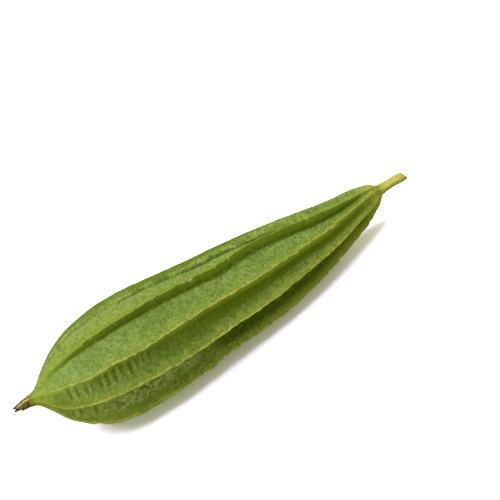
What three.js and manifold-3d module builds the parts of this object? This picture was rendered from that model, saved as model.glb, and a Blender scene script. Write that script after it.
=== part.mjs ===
// Ridge gourd (Luffa acutangula), whole and lying on its side as picked.
// Millimetres, +Z up, the surface it lies on at z = 0. +X runs from the withered
// blossom to the cut stem, and the fruit rests on two neighbouring ridges.
//
// A clock angle turns round the fruit's axis: 0 points up, 90 points to +Y.

import * as THREE from 'three';
import { mergeVertices } from 'three/addons/utils/BufferGeometryUtils.js';
import Module from 'manifold-3d';

const wasm = await Module();
wasm.setup();

// ---- driving dimensions -------------------------------------------------

const BODY_LENGTH = 243;        // blossom neck to stem, along the axis

// [distance from the blossom neck, radius at the ridge crests]
const CREST_RADIUS = [
  [0, 3.5], [3, 4.2], [5, 5.4], [7, 7.4], [12, 13.4], [21, 21.2], [33, 27.9], [49, 31.8],
  [69, 33.0], [97, 31.0], [118, 28.9], [137, 27.5], [177, 21.9], [213, 13.8], [233, 9.4],
  [239, 7.4], [BODY_LENGTH, 4.4],
];
// [distance from the blossom neck, height of a ridge above the panels beside it]
const RIDGE_HEIGHT = [
  [0, 0.2], [12, 0.8], [21, 1.5], [33, 2.7], [53, 4.5], [97, 5.3],
  [143, 5.4], [175, 5.1], [208, 3.6], [228, 1.5], [BODY_LENGTH, 0.3],
];
// [distance from the blossom neck, how far the axis bows out of a straight line]
const BOW = [
  [0, 0], [3, 0.4], [7, 1.9], [12, 3.8], [25, 5.4], [65, 5.8], [113, 6.6],
  [155, 6.7], [181, 6.0], [205, 4.5], [227, 1.9], [237, 0.95], [BODY_LENGTH, 0.4],
];
const BOW_CLOCK = 240;          // degrees, the side it bows to

// The ten ridges: where each crest runs, in [distance from the neck, clock angle] rows,
// and how far it stands out past the others. It lies on the sixth and the seventh.
// Two have their own widths for the flank where clock angles fall.
const RIDGES = [
  {
    path: [
      [0, 0], [11, -4], [22, -11], [33, -13], [55, -15.3], [97, -13.4], [133, -10.8],
      [152, -4.2], [165, -5.3], [197, -10.5], [223, -17.5], [BODY_LENGTH, -18],
    ],
    proud: 0,
    fallingWidths: [2.1, 4.0],
  },
  {
    path: [[0, 34], [60, 32.5], [120, 34], [BODY_LENGTH, 37]],
    proud: 0,
    fallingWidths: [4.7, 5.2],
  },
  { path: [[0, 60], [50, 64], [BODY_LENGTH, 68]], proud: 0.3 },
  { path: [[0, 102], [50, 98], [BODY_LENGTH, 97]], proud: -0.2 },
  { path: [[0, 130], [60, 128], [BODY_LENGTH, 128]], proud: 0.2 },
  { path: [[0, 159], [60, 162], [BODY_LENGTH, 162]], proud: 0 },
  { path: [[0, 202], [60, 198], [BODY_LENGTH, 198]], proud: 0 },
  { path: [[0, 230], [33, 233.5], [60, 236], [BODY_LENGTH, 236]], proud: 1.5 },
  {
    path: [
      [0, 276], [11, 272], [22, 274.5], [38, 276.2], [55, 274.8], [78, 273.2],
      [105, 273.2], [136, 272.6], [172, 274.3], [197, 272.5], [BODY_LENGTH, 275],
    ],
    proud: 0,
  },
  {
    path: [
      [0, 327], [11, 319], [20, 311.5], [30, 307.1], [44, 308.6], [57, 306.1], [78, 306.8],
      [112, 308.5], [145, 308], [172, 310.4], [197, 309.5], [223, 315.5], [BODY_LENGTH, 320],
    ],
    proud: 0,
  },
];
const PROUD_FADE = { from: 5, length: 14 }; // no crest stands out at the very ends

// How crisply a flank meets its panel at its foot, on the side of the ridge where clock
// angles rise and on the other side, and the widths from crest to foot there.
const RISING_FLANK = { footPower: 3.5 };
const FALLING_FLANK = { footPower: 6 };
const RISING_WIDTH = 4.4;
const FALLING_WIDTHS = [3.5, 3.5]; // near the neck and towards the stem
const WIDENING = { from: 60, to: 150 }; // where one gives way to the other
const FLANK_SHARE = 0.58;       // the most of half a panel that a flank takes
const FLANK_STEEPENING = 0.35;  // 0 is a straight flank, 1 is a cubic, level at its crest
const PANEL_HOLLOW = 0.9;       // 0 leaves a panel round, 1 makes it flat
const CREST_BAND = 0.15;        // half a crest's level band, as a share of its flank
// Where the columns beside a crest run, as shares of its flank's width.
const FOOT_STEPS = [CREST_BAND, 0.6, 0.95, 1.3];

const PITCH = 4.2;              // degrees, stem end down, where its weight balances
const FLAT_DEPTH = 0.6;         // how much of the two lower crests is pressed flat
const SEAT_GAP = 0.3;           // between the fruit and what grows out of its ends

const STEM_LENGTH = 20;
// [distance from the fruit, radius]
const STEM_RADIUS = [
  [0, 3.9], [1.6, 3.5], [4.5, 3.15], [11, 2.95], [18, 2.95], [STEM_LENGTH, 2.65],
];
const STEM_ANGLES = 5;          // soft corners round the stem
const STEM_CORNER = 0.06;       // their height, as a share of the radius
const STEM_ARCH = 0.4;          // rise of the stem's middle above its ends
const STEM_CUT = 31;            // degrees, slant of the cut, longer below

const STUB_LENGTH = 8.5;        // withered flower tube left on the blossom end
// [distance from the fruit, radius]
const STUB_RADIUS = [[0, 3.0], [1.5, 3.0], [3.5, 2.4], [6, 1.75], [STUB_LENGTH, 1.5]];
const STUB_RISE = 0.3;          // how far its tip rises off the axis
const STUB_TEETH = 0.7;         // depth of the torn rim
// Dried petal shreds: clock angle, start along the stub, length, flare out at the tip
// and width at the root
const SHREDS = [
  { clock: 315, start: 0.6, length: 6.2, flare: 0.4, width: 1.2 },
  { clock: 338, start: 0.2, length: 0.9, flare: 2.0, width: 1.0 },
  { clock: 115, start: 0.4, length: 5.0, flare: 0.6, width: 2.4 },
  { clock: 130, start: 3.4, length: 3.0, flare: 2.5, width: 0.9 },
  { clock: 165, start: 0.4, length: 4.4, flare: 0.7, width: 2.2 },
  { clock: 232, start: 1.0, length: 5.4, flare: 1.0, width: 1.5 },
];
const SHRED_THICKNESS = 0.9;

const COLOURS = { skin: 0x6d8233, stem: 0xb9b950, dried: 0x8a7f45 };

// ---- small helpers ------------------------------------------------------

const { degToRad: radians, lerp, smoothstep } = THREE.MathUtils;

// Unit vector across the fruit's axis at a clock angle in degrees.
function clockDirection(clock) {
  const angle = radians(clock);
  return new THREE.Vector3(0, Math.sin(angle), Math.cos(angle));
}

// A smooth function through a table of [place, value] rows: a cubic Hermite curve
// whose slope at each row is the distance-weighted mean of the two chords there.
function smoothTable(rows) {
  const chord = (i) => (rows[i + 1][1] - rows[i][1]) / (rows[i + 1][0] - rows[i][0]);
  const slopes = rows.map((row, i) => {
    if (i === 0) return chord(0);
    if (i === rows.length - 1) return chord(i - 1);
    const before = row[0] - rows[i - 1][0];
    const after = rows[i + 1][0] - row[0];
    return (chord(i - 1) * after + chord(i) * before) / (before + after);
  });
  return (place) => {
    const found = rows.findIndex((row, i) => i > 0 && place <= row[0]);
    const i = (found < 0 ? rows.length : found) - 1;
    const j = Math.min(i, rows.length - 2);
    const [x0, y0] = rows[j];
    const [x1, y1] = rows[j + 1];
    const span = x1 - x0;
    const t = (place - x0) / span;
    const s = 1 - t;
    return y0 * s * s * (1 + 2 * t) + y1 * t * t * (3 - 2 * t)
      + span * s * t * (s * slopes[j] - t * slopes[j + 1]);
  };
}

// One closed body through a row of rings with equal numbers of points, each ring
// running clockwise seen from the far end, and a flat fan over each end ring.
function loftRings(rings) {
  const count = rings[0].length;
  const points = rings.flat();
  const centre = (ring) => ring
    .reduce((sum, point) => sum.add(point), new THREE.Vector3()).divideScalar(count);
  const startCentre = points.push(centre(rings[0])) - 1;
  const endCentre = points.push(centre(rings.at(-1))) - 1;
  const index = [];
  for (let row = 0; row + 1 < rings.length; row += 1) {
    for (let i = 0; i < count; i += 1) {
      const a = row * count + i;
      const b = row * count + (i + 1) % count;
      index.push(a, a + count, b + count, a, b + count, b);
    }
  }
  const last = (rings.length - 1) * count;
  for (let i = 0; i < count; i += 1) {
    const next = (i + 1) % count;
    index.push(startCentre, i, next, endCentre, last + next, last + i);
  }
  const geometry = new THREE.BufferGeometry().setFromPoints(points);
  geometry.setIndex(index);
  return geometry;
}

function toSolid(geometry) {
  const bare = new THREE.BufferGeometry();
  bare.setAttribute('position', geometry.getAttribute('position').clone());
  bare.setIndex(geometry.getIndex().clone());
  const merged = mergeVertices(bare);
  return new wasm.Manifold(new wasm.Mesh({
    numProp: 3,
    vertProperties: merged.getAttribute('position').array,
    triVerts: Uint32Array.from(merged.getIndex().array),
  }));
}

function toGeometry(solid) {
  const mesh = solid.getMesh();
  const geometry = new THREE.BufferGeometry();
  geometry.setAttribute('position', new THREE.BufferAttribute(mesh.vertProperties, 3));
  geometry.setIndex(new THREE.BufferAttribute(mesh.triVerts, 1));
  return geometry;
}

function makeMesh(name, geometry, colour, roughness) {
  geometry.computeVertexNormals();
  const material = new THREE.MeshStandardMaterial({
    color: colour,
    roughness,
    metalness: 0,
    flatShading: true,
  });
  const mesh = new THREE.Mesh(geometry, material);
  mesh.name = name;
  return mesh;
}

// ---- the fruit ----------------------------------------------------------

const crestRadius = smoothTable(CREST_RADIUS);
const ridgeHeight = smoothTable(RIDGE_HEIGHT);
const bow = smoothTable(BOW);
const ridges = RIDGES.map(({ path, proud, fallingWidths = FALLING_WIDTHS }) => ({
  clockAt: smoothTable(path), proud, fallingWidths,
}));

// Stations along the axis, closer together where the ends round off.
function stations() {
  const nearNeck = [0, 1.5, 3, 4.8, 6.5, 8.3, 10, 12, 14.5, 17.5, 21, 25, 29.5];
  const nearStem = [221, 226, 230, 233, 235, 237, 238.5, 240, 241.5, BODY_LENGTH];
  const first = 35;
  const last = 215;
  const count = 31;
  const between = Array.from({ length: count }, (_, i) => first + (last - first) * i / (count - 1));
  return [...nearNeck, ...between, ...nearStem];
}

// Where a ridge's crest is at a station, and how wide its falling flank is there. The
// crest stands out by smooth steps in from the ends.
function crestAt({ clockAt, proud, fallingWidths }, x) {
  const { from, length } = PROUD_FADE;
  const inward = smoothstep(x, from, from + length)
    * smoothstep(BODY_LENGTH - x, from, from + length);
  return {
    clock: clockAt(x),
    radius: crestRadius(x) + proud * inward,
    fallingWidth: lerp(...fallingWidths, smoothstep(x, WIDENING.from, WIDENING.to)),
  };
}

// How far down a flank is, from its place between its crest, 0, and its foot, 1:
// w / (1 + w^power)^(1 / power), where w is part straight and part cubic.
function fallen(place, power) {
  const wall = (1 - FLANK_STEEPENING) * place + FLANK_STEEPENING * place ** 3;
  return wall / (1 + wall ** power) ** (1 / power);
}

// The columns of one half of a panel, which runs from a crest here to the next one.
// d is 0 at the half's own crest and 1 in the panel's middle. The panel lies in at
// (radius - height) * (1 + hollow), and the flank leads down to it.
function halfPanel(here, next, height, flank) {
  const rising = flank === RISING_FLANK;
  const panel = (next.clock - here.clock + 360) % 360;
  const halfAngle = radians(panel / 2);
  const middle = halfAngle * (rising ? here : next).radius;
  const width = Math.min(rising ? RISING_WIDTH : next.fallingWidth, FLANK_SHARE * middle);
  const placeAt = (d) => Math.max(0, d * middle / width - CREST_BAND) / (1 - CREST_BAND);
  const downAt = (d) => fallen(placeAt(d), flank.footPower);
  const steps = FOOT_STEPS.map((foot) => foot * width / middle);
  const places = rising ? [...steps, 1] : steps.reverse();
  return places.map((d) => {
    const across = rising ? d / 2 : 1 - d / 2;
    const radius = lerp(here.radius, next.radius, smoothstep(across, 0, 1));
    const hollow = PANEL_HOLLOW * (1 / Math.cos((1 - d) * halfAngle) - 1);
    const drop = radius - (radius - height) * (1 + hollow);
    return {
      clock: here.clock + panel * across,
      radius: radius - drop * downAt(d) / downAt(1),
    };
  });
}

// Rings of columns from crest to crest, about an axis that bows to one side.
function fruitGeometry(layDown) {
  const aside = clockDirection(BOW_CLOCK);
  const rings = stations().map((x) => {
    const middle = aside.clone().multiplyScalar(bow(x)).setX(x);
    const crests = ridges.map((ridge) => crestAt(ridge, x));
    const columns = crests.flatMap((here, i) => {
      const next = crests[(i + 1) % crests.length];
      return [RISING_FLANK, FALLING_FLANK]
        .flatMap((flank) => halfPanel(here, next, ridgeHeight(x), flank));
    });
    return columns.map(({ clock, radius }) => clockDirection(clock)
      .multiplyScalar(radius).add(middle).applyMatrix4(layDown));
  });
  return loftRings(rings);
}

// The fruit's turn and lift from its own axis to where it lies.
function lyingPlace() {
  const turn = new THREE.Matrix4().makeRotationY(radians(PITCH));
  const turned = fruitGeometry(turn);
  turned.computeBoundingBox();
  const lift = -turned.boundingBox.min.z - FLAT_DEPTH;
  return new THREE.Matrix4().makeTranslation(0, 0, lift).multiply(turn);
}

// The two lower crests are pressed flat by taking away what is below z = 0.
function lyingFruit(layDown) {
  const depth = 20;
  const floor = new THREE.BoxGeometry(2 * BODY_LENGTH, BODY_LENGTH, depth);
  floor.translate(BODY_LENGTH / 2, 0, -depth / 2);
  return toGeometry(toSolid(fruitGeometry(layDown)).subtract(toSolid(floor)));
}

// ---- the stem -----------------------------------------------------------

// Radius = table * (1 + corner * cos(5 * angle)) round a path that arches up by a
// parabola; the far rings lean over to the slanted cut.
function stemGeometry() {
  const radiusAt = smoothTable(STEM_RADIUS);
  const sides = 30;
  const rows = 12;
  const lean = Math.tan(radians(STEM_CUT));
  const rings = Array.from({ length: rows + 1 }, (_, row) => {
    const share = row / rows;
    const x = STEM_LENGTH * share;
    const rise = STEM_ARCH * 4 * share * (1 - share);
    return Array.from({ length: sides }, (__, side) => {
      const clock = 360 * side / sides;
      const corner = 1 + STEM_CORNER * Math.cos(radians(STEM_ANGLES * clock));
      const point = clockDirection(clock).multiplyScalar(radiusAt(x) * corner);
      point.x = x - lean * share ** 3 * point.z;
      point.z += rise;
      return point;
    });
  });
  return loftRings(rings);
}

// ---- the withered blossom -----------------------------------------------

// The flower tube's middle line, running away from the fruit along +X.
function stubPoint(distance) {
  const share = distance / STUB_LENGTH;
  return new THREE.Vector3(distance, 0, STUB_RISE * share * share);
}

function stubGeometry() {
  const radiusAt = smoothTable(STUB_RADIUS);
  const sides = 18;
  const rows = 9;
  const rings = Array.from({ length: rows + 1 }, (_, row) => {
    const share = row / rows;
    const distance = STUB_LENGTH * share;
    return Array.from({ length: sides }, (__, side) => {
      const clock = 360 * side / sides;
      const crumple = 1 + 0.11 * Math.cos(radians(3 * clock + 25 * distance))
        + 0.06 * Math.cos(radians(5 * clock - 18 * distance));
      const torn = STUB_TEETH * share ** 4 * Math.cos(radians(4 * clock + 40));
      return clockDirection(clock).multiplyScalar(radiusAt(distance) * crumple)
        .add(stubPoint(distance)).add(new THREE.Vector3(torn, 0, 0));
    });
  });
  return loftRings(rings);
}

// A shred lies along the tube with its root sunk in it, tapers to a blunt tip and
// curls out by the square of the way along.
function shredGeometry({ clock, start, length, flare, width }) {
  const radiusAt = smoothTable(STUB_RADIUS);
  const outward = clockDirection(clock);
  const across = clockDirection(clock + 90);
  const sides = 8;
  const rows = 7;
  const rings = Array.from({ length: rows + 1 }, (_, row) => {
    const share = row / rows;
    const distance = start + length * share;
    const height = radiusAt(Math.min(distance, STUB_LENGTH)) - 0.25 + flare * share * share;
    const middle = stubPoint(distance).addScaledVector(outward, height);
    const taper = 1 - 0.62 * share;
    return Array.from({ length: sides }, (__, side) => {
      const angle = 2 * Math.PI * side / sides;
      return middle.clone()
        .addScaledVector(outward, Math.cos(angle) * taper * SHRED_THICKNESS / 2)
        .addScaledVector(across, Math.sin(angle) * taper * width / 2);
    });
  });
  return loftRings(rings);
}

function blossomGeometry() {
  const stub = toSolid(stubGeometry());
  return toGeometry(SHREDS.reduce((sum, shred) => sum.add(toSolid(shredGeometry(shred))), stub));
}

// ---- assembly -----------------------------------------------------------

// A piece modelled along its own +X, set on the fruit's axis and turned with it.
// A piece on the blossom end is turned about the vertical so that it points away.
function seatOnAxis(mesh, layDown, x, turnAbout) {
  mesh.position.set(x, 0, 0).applyMatrix4(layDown);
  mesh.rotation.set(0, radians(PITCH), 0);
  mesh.rotateZ(turnAbout);
  return mesh;
}

const layDown = lyingPlace();
const fruit = makeMesh('fruit', lyingFruit(layDown), COLOURS.skin, 0.55);
const stem = makeMesh('stem', stemGeometry(), COLOURS.stem, 0.6);
const blossom = makeMesh('blossom_remnant', blossomGeometry(), COLOURS.dried, 0.85);
seatOnAxis(stem, layDown, BODY_LENGTH + SEAT_GAP, 0);
seatOnAxis(blossom, layDown, -SEAT_GAP, Math.PI);

// The origin is on the surface, under the middle of the whole gourd's box.
const gourd = new THREE.Group();
gourd.name = 'ridge_gourd';
gourd.add(fruit, stem, blossom);
const box = new THREE.Box3().setFromObject(gourd, true);
gourd.position.set(-(box.min.x + box.max.x) / 2, -(box.min.y + box.max.y) / 2, 0);

export default gourd;
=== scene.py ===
"""Ridge gourd: the looks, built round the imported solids.

The rind, the stem and the withered blossom are surfaces worked out with numpy in
millimetres, in the fruit's own frame: +X runs along its axis from the blossom
neck to the stem, and a clock angle turns round it, 0 up and 90 towards +Y.
"""

import math
from types import SimpleNamespace

import bpy
import numpy as np
from mathutils import Matrix, Vector


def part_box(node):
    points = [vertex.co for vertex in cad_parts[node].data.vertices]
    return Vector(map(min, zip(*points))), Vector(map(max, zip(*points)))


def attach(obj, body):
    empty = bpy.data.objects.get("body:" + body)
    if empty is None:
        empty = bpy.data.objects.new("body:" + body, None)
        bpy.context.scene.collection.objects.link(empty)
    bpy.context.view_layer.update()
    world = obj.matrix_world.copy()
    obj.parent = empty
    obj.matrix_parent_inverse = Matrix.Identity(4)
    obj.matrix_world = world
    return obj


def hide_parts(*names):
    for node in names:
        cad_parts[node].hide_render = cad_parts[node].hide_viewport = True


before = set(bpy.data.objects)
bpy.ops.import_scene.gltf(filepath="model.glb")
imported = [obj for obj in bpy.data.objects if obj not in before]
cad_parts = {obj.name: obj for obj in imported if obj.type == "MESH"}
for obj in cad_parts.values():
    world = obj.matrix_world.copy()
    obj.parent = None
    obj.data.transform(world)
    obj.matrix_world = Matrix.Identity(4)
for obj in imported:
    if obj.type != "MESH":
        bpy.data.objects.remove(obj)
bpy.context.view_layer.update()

bl_info = {
    "name": "Ridge gourd",
    "version": (1, 0, 0),
    "blender": (4, 5, 0),
    "location": "3D View > Sidebar > Gourd",
    "description": "Makes a whole ridge gourd lying on its side",
    "category": "Add Mesh",
}

MM = 0.001

# ---- the fruit's driving dimensions, in millimetres and degrees -------------

BODY_LENGTH = 243.0
# (distance from the blossom neck, radius at the ridge crests)
CREST_RADIUS = (
    (0, 3.5), (3, 4.2), (5, 5.4), (7, 7.4), (12, 13.4), (21, 21.2), (33, 27.9),
    (49, 31.8), (69, 33.0), (97, 31.0), (118, 28.9), (137, 27.5), (177, 21.9), (213, 13.8),
    (233, 9.4), (239, 7.4), (243, 4.4),
)
# (distance from the blossom neck, height of a ridge above the panels beside it)
RIDGE_HEIGHT = (
    (0, 0.2), (12, 0.8), (21, 1.5), (33, 2.7), (53, 4.5), (97, 5.3),
    (143, 5.4), (175, 5.1), (208, 3.6), (228, 1.5), (243, 0.3),
)
# (distance from the blossom neck, how far the axis bows out of a straight line)
BOW = (
    (0, 0), (3, 0.4), (7, 1.9), (12, 3.8), (25, 5.4), (65, 5.8), (113, 6.6),
    (155, 6.7), (181, 6.0), (205, 4.5), (227, 1.9), (237, 0.95), (243, 0.4),
)
BOW_CLOCK = 240.0               # the clock angle that it bows towards
# Where each ridge's crest runs: (distance from the blossom neck, clock angle)
RIDGE_PATHS = (
    ((0, 0), (11, -4), (22, -11), (33, -13), (55, -15.3), (97, -13.4), (133, -10.8), (152, -4.2),
     (165, -5.3), (197, -10.5), (223, -17.5), (243, -18)),
    ((0, 34), (60, 32.5), (120, 34), (243, 37)),
    ((0, 60), (50, 64), (243, 68)),
    ((0, 102), (50, 98), (243, 97)),
    ((0, 130), (60, 128), (243, 128)),
    ((0, 159), (60, 162), (243, 162)),
    ((0, 202), (60, 198), (243, 198)),
    ((0, 230), (33, 233.5), (60, 236), (243, 236)),
    ((0, 276), (11, 272), (22, 274.5), (38, 276.2), (55, 274.8), (78, 273.2), (105, 273.2),
     (136, 272.6), (172, 274.3), (197, 272.5), (243, 275)),
    ((0, 327), (11, 319), (20, 311.5), (30, 307.1), (44, 308.6), (57, 306.1), (78, 306.8),
     (112, 308.5), (145, 308), (172, 310.4), (197, 309.5), (223, 315.5), (243, 320)),
)
RIDGES = len(RIDGE_PATHS)
# Each ridge's crest: how far it stands out past the crest radius, how ragged it is, how
# pale its dried line is near the neck and beyond, how broad it is, and how far its
# yellow-green skirt runs down where clock angles rise and where they fall; the long falling
# skirts of the last two ridges and the long rising skirt of the eighth are painted light:
# lit rounded crests on the last two and a rim highlight on the eighth
CRESTS = (
    (0.0, 0.40, 0.35, 0.35, 0.8, 1.4, 0.4),
    (0.0, 0.20, 0.00, 0.00, 1.0, 1.0, 0.3),
    (0.3, 0.50, 0.80, 0.80, 1.2, 1.4, 0.8),
    (-0.2, 0.60, 0.60, 0.60, 1.0, 1.6, 0.8),
    (0.2, 0.45, 0.70, 0.70, 1.0, 1.2, 1.2),
    (0.0, 0.30, 0.80, 0.80, 1.3, 2.0, 0.6),
    (0.0, 0.50, 0.60, 0.60, 1.0, 1.4, 1.0),
    (1.5, 0.80, 1.60, 0.90, 1.5, 4.0, 1.0),
    (0.0, 0.40, 1.10, 1.40, 0.9, 3.0, 2.6),
    (0.0, 0.35, 0.60, 0.90, 0.9, 1.4, 3.1),
)
PROUD, RAGGED, PALE_NEAR, PALE_FAR, BROAD, RISING_SKIRT_AND_LIGHT, FALLING_SKIRT_AND_LIGHT = (
    np.array(CRESTS).T[..., None]
)
# Each ridge's side where clock angles fall: its width near the neck and towards the stem;
# how far from the crest its deep green reaches near the neck and towards the stem, and how
# much of that shows near the neck, the deep green being a saturated green that is partly
# painted shade from the ridge; how dark the painted shade along its foot is near the neck
# and towards the stem; how much painted shade darkens all of the deep green towards the
# stem; and how pale a band is above the foot
SIDES = (
    (2.1, 4.0, 4.0, 4.8, 1.0, 0.55, 0.6, 0.00, 0.0),
    (4.7, 5.2, 4.4, 0.5, 1.0, 0.50, 0.9, 0.00, 0.7),
    (3.5, 3.5, 5.0, 5.0, 0.5, 0.50, 0.5, 0.20, 0.2),
    (3.5, 3.5, 6.0, 6.0, 0.4, 0.30, 0.3, 0.40, 0.0),
    (3.5, 3.5, 4.6, 4.6, 0.6, 0.80, 0.8, 0.10, 0.3),
    (3.5, 3.5, 7.0, 7.0, 0.3, 0.30, 0.3, 0.30, 0.0),
    (3.5, 3.5, 5.0, 5.0, 0.6, 0.60, 0.6, 0.20, 0.2),
    (3.5, 3.5, 5.0, 5.0, 0.4, 0.40, 0.4, 0.50, 0.0),
    (3.5, 3.5, 17.0, 18.0, 0.0, 0.05, 0.6, 0.85, 0.0),
    (3.5, 3.5, 15.0, 9.0, 0.0, 0.10, 0.1, 0.15, 0.0),
)
(WIDTH_NEAR, WIDTH_FAR, DEEP_NEAR, DEEP_FAR, DEEP_SHOWN, FOOT_SHADE_NEAR, FOOT_SHADE_FAR, STEM_SHADE,
 PALE_BAND) = np.array(SIDES).T[..., None]
# The panel after each ridge: how barred it is near the neck, how far along the bars run,
# how yellow it is and how much waxy bloom it has
PANELS = (
    (0.15, 50, 0.90, 0.2),
    (0.15, 50, 0.50, 0.3),
    (0.30, 60, 0.40, 0.2),
    (0.50, 60, 0.60, 0.3),
    (0.25, 50, 0.30, 0.2),
    (0.60, 70, 0.50, 0.4),
    (0.40, 60, 0.40, 0.3),
    (0.50, 45, 0.20, 1.0),
    (0.75, 77, 0.25, 0.1),
    (0.04, 50, 0.25, 0.1),
)
BARRED, BARS_END, YELLOWNESS, BLOOM = np.array(PANELS).T[..., None]
# Old knocks: ridge, distance from the neck, depth and half length
KNOCKS = (
    (0, 108.0, 0.9, 1.3), (0, 124.0, 0.4, 0.9), (0, 134.0, 0.5, 0.9), (7, 26.0, 0.4, 1.4),
    (7, 83.0, 0.4, 0.9), (7, 91.0, 0.5, 0.8), (7, 101.5, 0.9, 0.9), (7, 105.5, 0.7, 0.8),
    (7, 111.0, 0.7, 1.0), (9, 200.0, 0.35, 3.2),
)
KNOCK_PUSH = 1.3                # how far a knock 1 deep pushes its crest aside, each way
KNOCK_REACH = 9.0               # how far along the crest that push is felt
NICKS = 9                       # small random nicks on each crest
NICK_PLACES = (16, BODY_LENGTH - 14)    # the first and last place for one
NICK_DEPTHS = (0.15, 0.75)      # the least and the most, for a fully ragged crest
NICK_LENGTHS = (0.5, 1.3)       # and so for half its length
RISING_WIDTH = 4.4              # from a crest out to its flank's foot where clock angles rise
FOOT_POWERS = (3.5, 6.0)        # how crisply a rising and a falling flank meet their panels
FLANK_SHARE = 0.58              # the most of half a panel that a flank takes
FLANK_STEEPENING = 0.35         # 0 is a straight flank, 1 is a cubic, level at its crest
PANEL_HOLLOW = 0.9              # 0 leaves a panel round, 1 makes it flat, more hollows it
PITCH = 4.2                     # degrees that the stem end is tipped down
FLAT_DEPTH = 0.6                # how far the lowest crests are flattened where they rest
SEAT_GAP = 0.3                  # from each end of the fruit to the seat of what grows there

# Random waves along the rind, each a row of (spacing of its knots, height)
FLANK_WAVES = ((24, 0.15), (5, 0.09))               # as a share of the flank's width
CREST_WAVES = ((3.3, 1.0), (9, 0.5))                # of the depth that the settings give
WANDER_WAVES = ((14, 0.7), (4, 0.6), (1.7, 0.5))    # of the wander that the settings give
BEAT_WAVES = ((9, 2.0), (3, 0.7))                   # radians that the wrinkles are early
STRENGTH_WAVES = ((4, 0.55),)                       # of how strong the wrinkles are
DRIED_WAVES = ((9, 0.2), (2.4, 0.25))               # of a crest line's paleness
YELLOW_WAVES = ((30, 0.3),)                         # of how yellow a panel is
BLOOM_WAVES = ((5, 0.5),)                           # of its waxy bloom
BAND_WAVES = ((4, 0.6),)                            # of a pale band
BROKEN_WAVES = ((6, 0.5),)                          # of a banded foot's painted shade line
SWELL_WAVES = ((15, 1.0),)                          # of the height that the settings give
# Stretches over which the rind changes, as distances from the neck
WIDENING = (60, 150)            # a flank goes from its near width to its far one
CALMING = (100, 150)            # the crest waves fade to half
BARS_START = (13, 19)           # the bars set in
BARS_FADE = 25                  # the bars end over this length
LINE_START = (2, 14)            # the pale line on a crest sets in
LINE_CHANGE = (25, 45)          # it goes from its near to its far paleness
LINE_FADE = (115, 165)          # it fades by nearly half
LINE_END = (236, 216)           # and it ends, read backwards
WORN_END = (80, 60)             # the worn strip of the worn ridge ends
SKIRT_START = (0, 10)           # the yellow-green beside a crest sets in
SKIRT_FULL = (90, 160)          # it comes out in full
REACH_START = (0, 50)           # the deep green widens from the neck
DEEPENING = (30, 140)           # the deep green comes out in full
REACH_CHANGE = (95, 185)        # the deep green goes from its near to its far reach
FOOT_SHADE_CHANGE = (66, 111)         # a foot's painted shade goes from its near to its far darkness
STEM_SHADE_START = (62, 112)     # painted shade darkens all of the deep green
STEM_SHADE_FADE = (115, 155)     # and a little of that is lost again
FOOT_LINE_CHANGE = (80, 130)    # a banded foot's painted shade line moves further out
BAND_END = (190, 150)           # the pale bands end
BROKEN_END = (200, 160)         # the broken painted shade lines at the feet end
BLOOM_END = (125, 85)           # the waxy bloom ends
RIDGED_START, RIDGED_END = (8, 24), (234, 220)      # the ends have no flank colours
WORN_RIDGE = 7                  # its crest is scuffed to a flat strip near the neck
WORN_EDGE = 1.3                 # half the width of that strip
RISING_FOOT_SHADE = 0.25              # how dark the painted shade at the foot is where clock angles rise

FRUIT_ROWS = 450                # along the axis
PANEL_COLUMNS = 22              # from one ridge's crest to the next
ROW_CROWDING = 0.35             # 0 spaces rows evenly, 1 crowds them fully to the ends
COLUMN_CROWDING = 0.62          # and so for columns, towards the crests
SEED = 41

# ---- the stem and the withered blossom --------------------------------------

STEM_LENGTH = 20.0
# (distance along it, radius)
STEM_RADIUS = ((0, 3.9), (1.6, 3.5), (4.5, 3.15), (11, 2.95), (18, 2.95), (20, 2.65))
STEM_ANGLES = 5                 # corners of its section
STEM_CORNER = 0.06              # how far they stand out, as a share of the radius
STEM_FIBRES = ((17, -70, 0.012), (31, -90, 0.009))  # fine ribs: how many, turn, height
STEM_SWELLS = ((3.1, 0.02),)    # slow swells along it: spacing of knots, height
STEM_FLARE = 0.35               # how much its root widens inside the fruit
FLARE_REACH = (1.2, -0.8)       # where along it that starts and is full
STEM_ARCH = 0.4                 # how high its middle line bows up
STEM_CUT = 31.0                 # degrees that its cut end slants
STEM_SINK = 1.4                 # how far its root runs back from its seat, into the fruit
CUT_RIM, CUT_DIP = 0.12, 0.45   # height of the cut's rim and depth of its pith
UNSHADED_CLOCK = 310.0            # painted shade: its skin is clearest here and opposite, and shaded olive between

STUB_LENGTH = 8.5
# (distance along it, radius)
STUB_RADIUS = ((0, 3.0), (1.5, 3.0), (3.5, 2.4), (6, 1.75), (8.5, 1.5))
STUB_RISE = 0.3                 # how far its tip bends up
# Crumples: folds round the tube, degrees of turn each millimetre, turn, height
CRUMPLES = ((3, 25, 0, 0.11), (5, -18, 0, 0.06), (11, 9, 40, 0.05))
STUB_PINCHES = ((1.2, 0.05),)   # where it is thin or thick: spacing of knots, height
STUB_TEETH = 0.7                # length of the teeth of its torn rim
TEETH = ((4, 40, 1.0), (9, -30, 0.35))              # how many, turn, share of the length
STUB_SINK = 1.2                 # how far its root runs back from its seat, into the fruit
STUB_DEPTH = 3.4                # how deep it is hollow
STUB_WALL = 0.26                # thickness of its wall, as a share of its radius
STUB_CLOSING = 0.6              # how much further it narrows at the hollow's bottom
STRAW_HIGHLIGHT_CLOCK = 24.0              # painted highlight: a straw-pale strip of the tube is centred here
STRAW_HIGHLIGHT_WIDTH = 17.0              # half width of that strip, in degrees
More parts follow.
